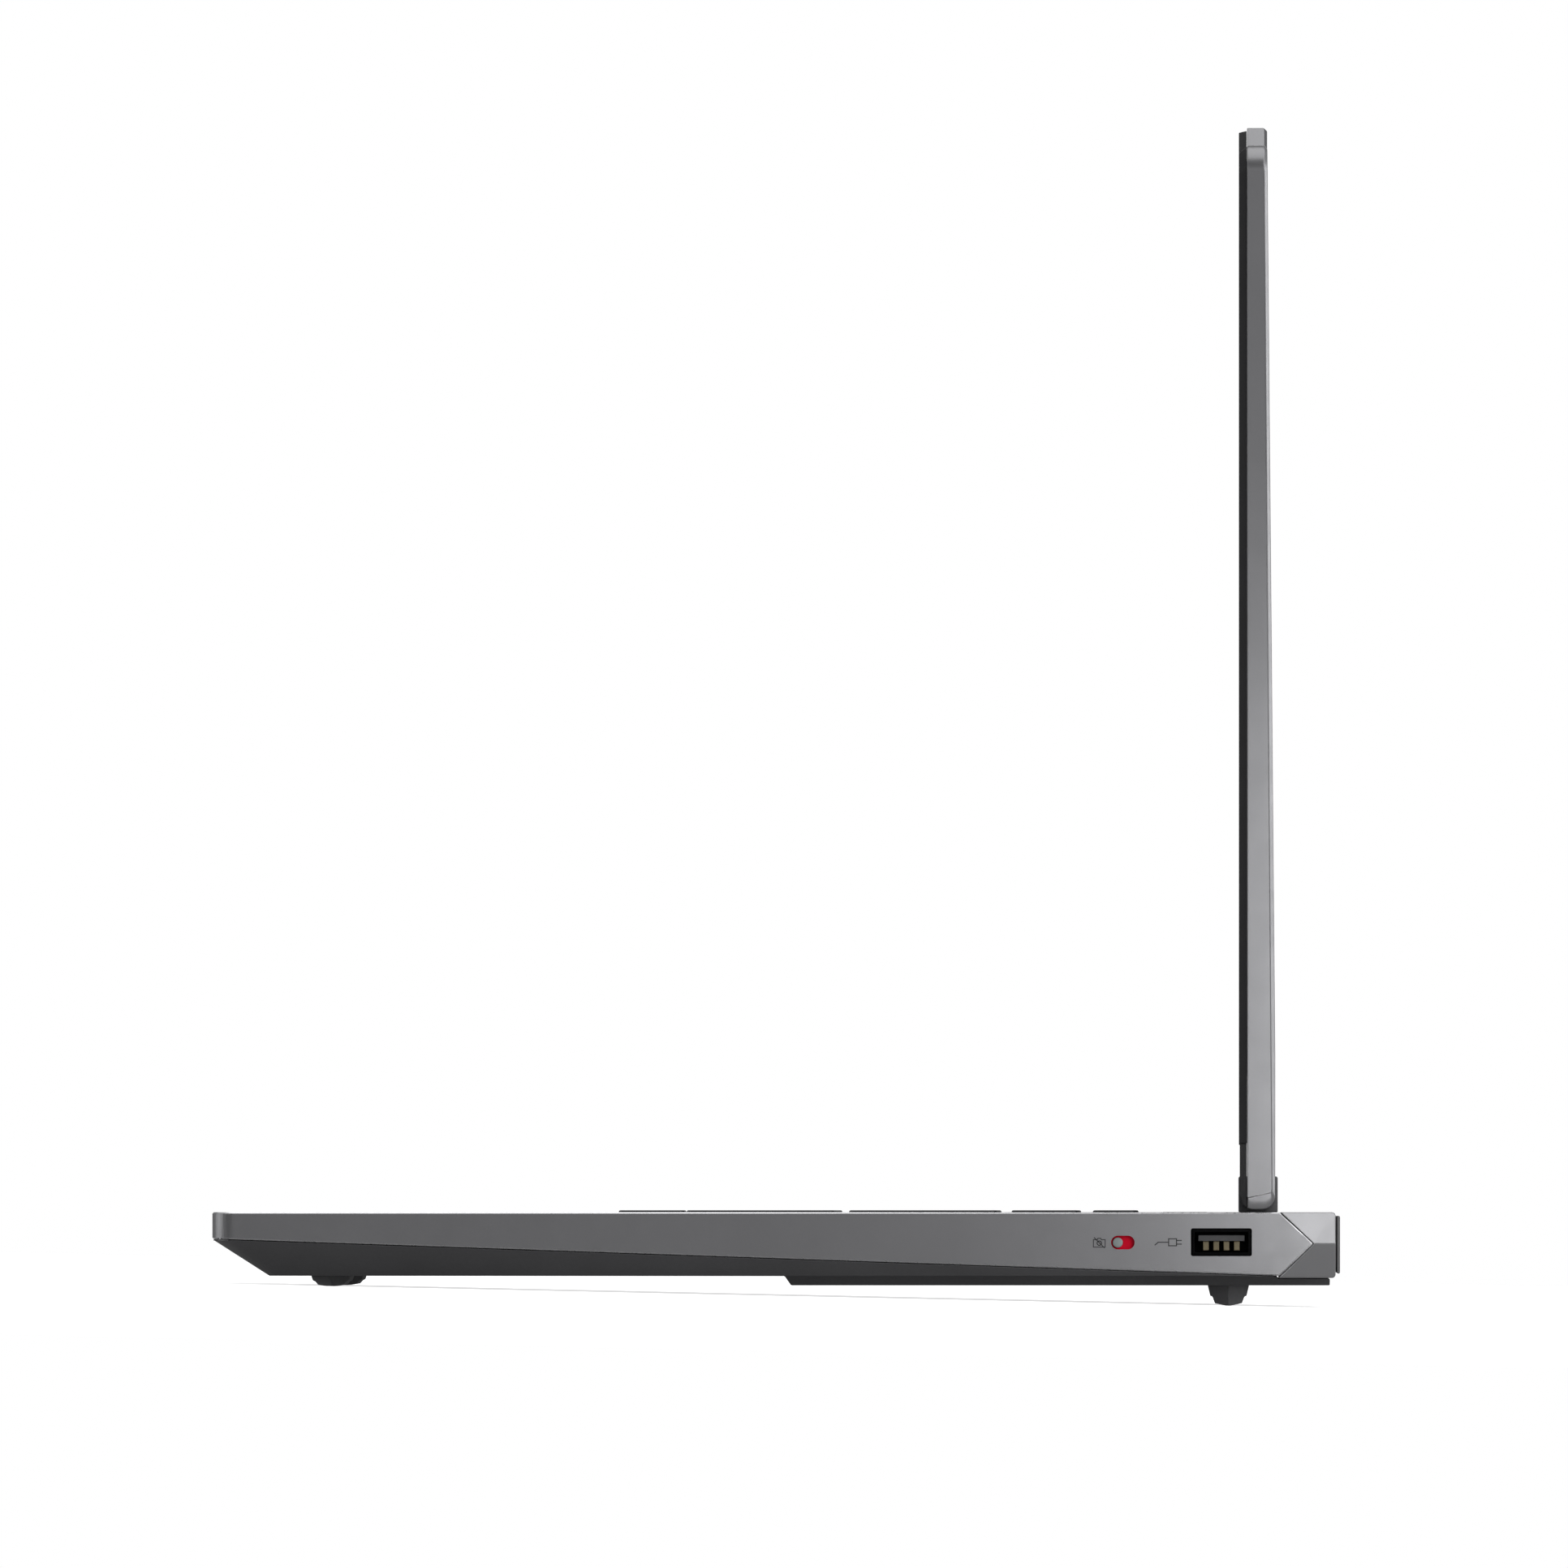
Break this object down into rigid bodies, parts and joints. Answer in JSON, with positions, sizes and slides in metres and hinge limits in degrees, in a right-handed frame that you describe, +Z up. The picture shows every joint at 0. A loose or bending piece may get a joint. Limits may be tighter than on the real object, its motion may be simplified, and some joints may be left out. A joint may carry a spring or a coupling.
{
  "type": "laptop computer",
  "caption": "Open clamshell laptop with a keyboard deck, number pad, touchpad, hinged display lid, rear exhausts, side and rear sockets, wedge base on rubber feet.",
  "frame": {"origin": "on the surface the laptop stands on, under the middle of its whole box, with the lid open square to the deck", "axes": "+X to the user's right, +Y from the front edge to the hinge, +Z up; the deck is tilted 1.25 degrees by the taller rear foot"},
  "size_m": [0.3598, 0.259, 0.2723],
  "materials": {
    "case_grey": "satin metallic grey",
    "cover_dark": "fine moulded grain",
    "shell_grey": "satin metallic grey",
    "trim_dark": "satin",
    "foot_rubber": "matt",
    "black_plastic": "matt",
    "key_plastic": "soft touch",
    "touch_glass": "etched",
    "panel_glass": "anti-glare",
    "lens_glass": "polished",
    "red_plastic": "gloss",
    "knob_grey": "satin",
    "steel": "stamped",
    "gold": "plated",
    "copper": "copper, tarnished",
    "board_green": "solder mask",
    "chip": "etched",
    "battery_wrap": "film wrapped",
    "light_ring": "translucent",
    "screw_steel": "black zinc",
    "membrane": "silicone"
  },
  "bodies": {
    "base": {"top_case": "case_grey", "bottom_cover": "cover_dark", "rear_shell": "shell_grey", "rear_trim_plate": "trim_dark", "vent_grille_left": "black_plastic", "vent_grille_right": "black_plastic", "front_feet": "foot_rubber", "rear_foot": "foot_rubber", "bottom_screws": "screw_steel", "keyboard_plate": "steel", "keyboard_membrane": "membrane", "motherboard": "board_green", "processor_chips": "chip", "memory_modules": "board_green", "solid_state_drive": "board_green", "wireless_card": "board_green", "battery_pack": "battery_wrap", "speakers": "black_plastic", "fan_housing_left": "black_plastic", "fan_housing_right": "black_plastic", "heatsink_fins": "copper", "heat_pipes": "copper", "touchpad_frame": "steel", "switch_housing": "black_plastic", "usb_port_right": "steel", "usb_tongue_right": "black_plastic", "usb_contacts_right": "gold", "side_io_board": "board_green", "audio_jack": "black_plastic", "usb_c_port": "steel", "rear_usb_ports": "steel", "hdmi_port": "steel", "ethernet_port": "black_plastic", "power_inlet": "black_plastic", "power_inlet_pin": "steel", "hinge_leaves": "steel", "hinge_caps": "cover_dark", "power_button_ring": "light_ring"},
    "lid": {"lid_cover": "case_grey", "screen_bezel": "black_plastic", "lid_chin": "black_plastic", "display_panel": "panel_glass", "webcam_module": "board_green", "webcam_lens": "lens_glass", "hinge_arms": "steel"},
    "fan_rotor_left": {"fan_rotor_left": "black_plastic"},
    "fan_rotor_right": {"fan_rotor_right": "black_plastic"},
    "power_button": {"power_button": "case_grey"},
    "touchpad": {"touchpad": "touch_glass"},
    "shutter_knob": {"shutter_knob": "knob_grey", "shutter_slider": "red_plastic"},
    "function_keys": {"function_keys": "key_plastic"},
    "number_keys": {"number_keys": "key_plastic"},
    "upper_letter_keys": {"upper_letter_keys": "key_plastic"},
    "home_letter_keys": {"home_letter_keys": "key_plastic"},
    "lower_letter_keys": {"lower_letter_keys": "key_plastic"},
    "modifier_keys": {"modifier_keys": "key_plastic"},
    "space_bar": {"space_bar": "key_plastic"},
    "arrow_keys": {"arrow_keys": "key_plastic"},
    "numpad_keys": {"numpad_keys": "key_plastic"}
  },
  "joints": [
    {"name": "lid_hinge", "type": "hinge", "parent": "base", "child": "lid", "pos_m": [0, 0.11004, 0.02646], "axis": [-1, 0, 0], "range_deg": [-90, 90]},
    {"name": "shutter_slide", "type": "slide", "parent": "base", "child": "shutter_knob", "axis": [0, 0.9998, 0.0218], "range_m": [0, 0.0023]},
    {"name": "power_press", "type": "slide", "parent": "base", "child": "power_button", "axis": [0, 0.0218, -0.9998], "range_m": [0, 0.0004], "stiffness_N_per_m": 900},
    {"name": "touchpad_click", "type": "hinge", "parent": "base", "child": "touchpad", "pos_m": [0, -0.042, 0.0177], "axis": [1, 0, 0], "range_deg": [0, 0.3], "stiffness_Nm_per_rad": 12},
    {"name": "fan_spin_left", "type": "hinge", "parent": "base", "child": "fan_rotor_left", "pos_m": [-0.105, 0.05466, 0.01141], "axis": [0, -0.0218, 0.9998], "continuous": true},
    {"name": "fan_spin_right", "type": "hinge", "parent": "base", "child": "fan_rotor_right", "pos_m": [0.105, 0.05466, 0.01141], "axis": [0, -0.0218, 0.9998], "continuous": true},
    {"name": "function_keys_press", "type": "slide", "parent": "base", "child": "function_keys", "axis": [0, 0.0218, -0.9998], "range_m": [0, 0.0015], "stiffness_N_per_m": 250},
    {"name": "number_keys_press", "type": "slide", "parent": "base", "child": "number_keys", "axis": [0, 0.0218, -0.9998], "range_m": [0, 0.0015], "stiffness_N_per_m": 250},
    {"name": "upper_letter_keys_press", "type": "slide", "parent": "base", "child": "upper_letter_keys", "axis": [0, 0.0218, -0.9998], "range_m": [0, 0.0015], "stiffness_N_per_m": 250},
    {"name": "home_letter_keys_press", "type": "slide", "parent": "base", "child": "home_letter_keys", "axis": [0, 0.0218, -0.9998], "range_m": [0, 0.0015], "stiffness_N_per_m": 250},
    {"name": "lower_letter_keys_press", "type": "slide", "parent": "base", "child": "lower_letter_keys", "axis": [0, 0.0218, -0.9998], "range_m": [0, 0.0015], "stiffness_N_per_m": 250},
    {"name": "modifier_keys_press", "type": "slide", "parent": "base", "child": "modifier_keys", "axis": [0, 0.0218, -0.9998], "range_m": [0, 0.0015], "stiffness_N_per_m": 250},
    {"name": "space_bar_press", "type": "slide", "parent": "base", "child": "space_bar", "axis": [0, 0.0218, -0.9998], "range_m": [0, 0.0015], "stiffness_N_per_m": 250},
    {"name": "arrow_keys_press", "type": "slide", "parent": "base", "child": "arrow_keys", "axis": [0, 0.0218, -0.9998], "range_m": [0, 0.0015], "stiffness_N_per_m": 250},
    {"name": "numpad_keys_press", "type": "slide", "parent": "base", "child": "numpad_keys", "axis": [0, 0.0218, -0.9998], "range_m": [0, 0.0015], "stiffness_N_per_m": 250}
  ]
}
